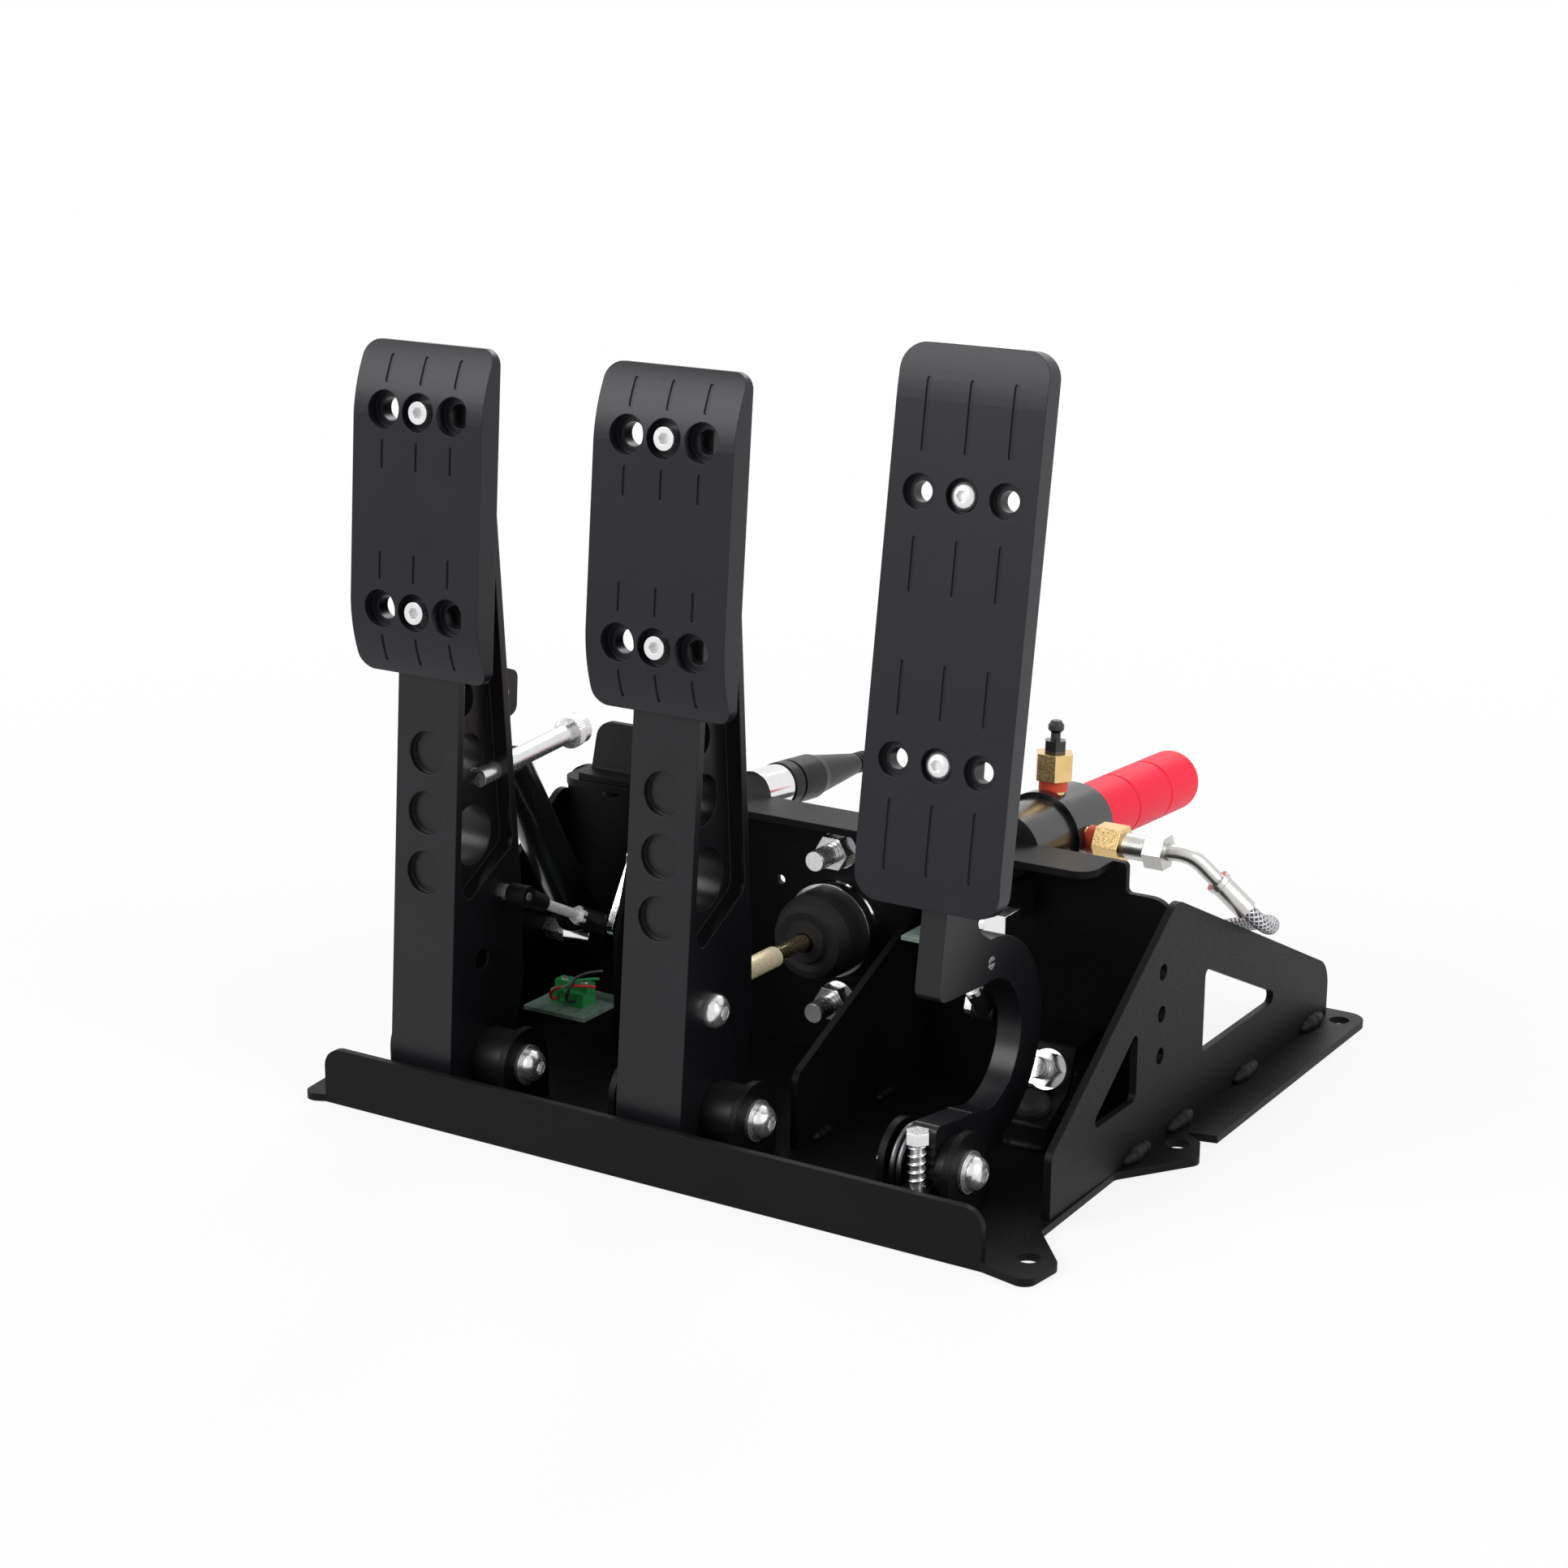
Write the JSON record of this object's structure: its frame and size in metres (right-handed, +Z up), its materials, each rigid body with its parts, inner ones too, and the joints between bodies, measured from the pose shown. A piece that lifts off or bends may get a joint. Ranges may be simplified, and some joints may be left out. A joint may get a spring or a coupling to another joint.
{
  "type": "sim racing pedal set",
  "caption": "A sim racing pedal set: a folded black steel base with hanging clutch, brake and throttle pedals, a gas strut and a hydraulic brake with red elastomers.",
  "frame": {"origin": "on the underside of the base plate, at the centre of the four corner fixing holes", "axes": "+X to the driver's right, +Y away from the driver, +Z up"},
  "size_m": [0.3314, 0.3123, 0.3138],
  "materials": {
    "powder_black": "textured",
    "satin_black": "satin",
    "bright_steel": "satin",
    "polished_steel": "polished",
    "spring_steel": "satin",
    "black_plastic": "matte",
    "black_rubber": "matte",
    "black_gloss": "gloss",
    "cast_iron": "rough",
    "gold_zinc": "satin",
    "red_rubber": "satin",
    "brass": "satin",
    "green_board": "satin",
    "wire_red": "gloss"
  },
  "bodies": {
    "frame": {"base_plate": "powder_black", "side_plate_left": "powder_black", "side_plate_right": "powder_black", "centre_gusset": "powder_black", "bulkhead": "powder_black", "pivot_ears": "powder_black", "pivot_bolts": "bright_steel", "pivot_nuts": "bright_steel", "pivot_bushes": "black_plastic", "washers": "bright_steel", "long_studs": "bright_steel", "stud_nuts": "bright_steel", "throttle_stop_bracket": "powder_black", "throttle_bumper": "black_rubber", "throttle_return_spring": "spring_steel", "clutch_stop_bracket": "powder_black", "strut_stud": "bright_steel", "master_cylinder": "cast_iron", "boot": "black_rubber", "boot_ring": "polished_steel", "slave_cylinder": "black_gloss", "slave_rings": "black_gloss", "elastomers": "red_rubber", "brass_adapters": "brass", "thread_seals": "red_rubber", "bleed_nipple": "black_gloss", "hose_end": "bright_steel", "brake_hose": "black_rubber", "pressure_sensor": "polished_steel", "sensor_plug": "black_plastic", "sensor_brackets": "powder_black", "rotary_sensors": "black_plastic", "sensor_boards": "green_board", "sensor_wires": "wire_red"},
    "clutch": {"clutch_arm": "satin_black", "clutch_pad": "satin_black", "clutch_pad_screws": "bright_steel", "clutch_stop_screw": "bright_steel", "clutch_lug": "satin_black", "clutch_studs": "bright_steel"},
    "strut_lower": {"strut_cylinder": "black_gloss", "strut_end_low": "polished_steel"},
    "strut_upper": {"strut_rod": "polished_steel", "strut_end_high": "polished_steel"},
    "clutch_sensor_lever": {"clutch_lever": "polished_steel"},
    "clutch_sensor_link": {"clutch_link": "black_plastic"},
    "brake": {"brake_arm": "satin_black", "brake_pad": "satin_black", "brake_pad_screws": "bright_steel", "pushrod_pin": "bright_steel"},
    "brake_pushrod": {"pushrod": "gold_zinc"},
    "brake_piston_body": {"brake_piston": "cast_iron"},
    "throttle": {"throttle_arm": "satin_black", "throttle_pad": "satin_black", "throttle_pad_screws": "bright_steel", "throttle_pin": "bright_steel", "idle_stop_bolt": "bright_steel", "idle_stop_spring": "polished_steel"},
    "throttle_sensor_lever": {"throttle_lever": "polished_steel"},
    "throttle_sensor_link": {"throttle_link": "black_plastic"}
  },
  "joints": [
    {"name": "clutch_hinge", "type": "hinge", "parent": "frame", "child": "clutch", "pos_m": [-0.1115, -0.1205, 0.02], "axis": [-1, 0, 0], "range_deg": [0, 13.5], "stiffness_Nm_per_rad": 12, "springref_deg": -28.65},
    {"name": "brake_hinge", "type": "hinge", "parent": "frame", "child": "brake", "pos_m": [-0.0045, -0.1205, 0.02], "axis": [-1, 0, 0], "range_deg": [0, 8], "stiffness_Nm_per_rad": 60, "springref_deg": -4.58},
    {"name": "throttle_hinge", "type": "hinge", "parent": "frame", "child": "throttle", "pos_m": [0.105, -0.1205, 0.02], "axis": [-1, 0, 0], "range_deg": [0, 14.5], "stiffness_Nm_per_rad": 4, "springref_deg": -34.38},
    {"name": "strut_swing", "type": "hinge", "parent": "frame", "child": "strut_lower", "pos_m": [-0.121, -0.0208, 0.0377], "axis": [-1, 0, 0], "range_deg": [0, 10.9]},
    {"name": "strut_slide", "type": "slide", "parent": "strut_lower", "child": "strut_upper", "axis": [0, 0.511, -0.8596], "range_m": [0, 0.0235]},
    {"name": "clutch_link_hinge", "type": "hinge", "parent": "clutch", "child": "clutch_sensor_link", "pos_m": [-0.09, -0.1075, 0.084], "axis": [-1, 0, 0], "range_deg": [-13.5, 0]},
    {"name": "clutch_lever_hinge", "type": "hinge", "parent": "frame", "child": "clutch_sensor_lever", "pos_m": [-0.09, -0.0375, 0.082], "axis": [-1, 0, 0], "range_deg": [-31, 0]},
    {"name": "pushrod_hinge", "type": "hinge", "parent": "brake", "child": "brake_pushrod", "pos_m": [-0.0045, -0.12322, 0.06103], "axis": [-1, 0, 0], "range_deg": [-8.5, 0]},
    {"name": "piston_slide", "type": "slide", "parent": "frame", "child": "brake_piston_body", "axis": [0, 1, 0], "range_m": [0, 0.006]},
    {"name": "throttle_link_hinge", "type": "hinge", "parent": "throttle", "child": "throttle_sensor_link", "pos_m": [0.092, -0.0914, 0.0892], "axis": [-1, 0, 0], "range_deg": [-30, 0]},
    {"name": "throttle_lever_hinge", "type": "hinge", "parent": "frame", "child": "throttle_sensor_lever", "pos_m": [0.092, -0.0495, 0.088], "axis": [-1, 0, 0], "range_deg": [-44, 0]}
  ],
  "couplings": [
    {"joint": "strut_swing", "follows": "clutch_hinge", "ratio": 0.788},
    {"joint": "strut_slide", "follows": "clutch_hinge", "m_per_rad": 0.0968},
    {"joint": "clutch_link_hinge", "follows": "clutch_hinge", "ratio": -0.941},
    {"joint": "clutch_lever_hinge", "follows": "clutch_hinge", "ratio": -2.2},
    {"joint": "pushrod_hinge", "follows": "brake_hinge", "ratio": -1},
    {"joint": "piston_slide", "follows": "brake_hinge", "m_per_rad": 0.0411},
    {"joint": "throttle_link_hinge", "follows": "throttle_hinge", "ratio": -1.9645},
    {"joint": "throttle_lever_hinge", "follows": "throttle_hinge", "ratio": -2.9066}
  ]
}
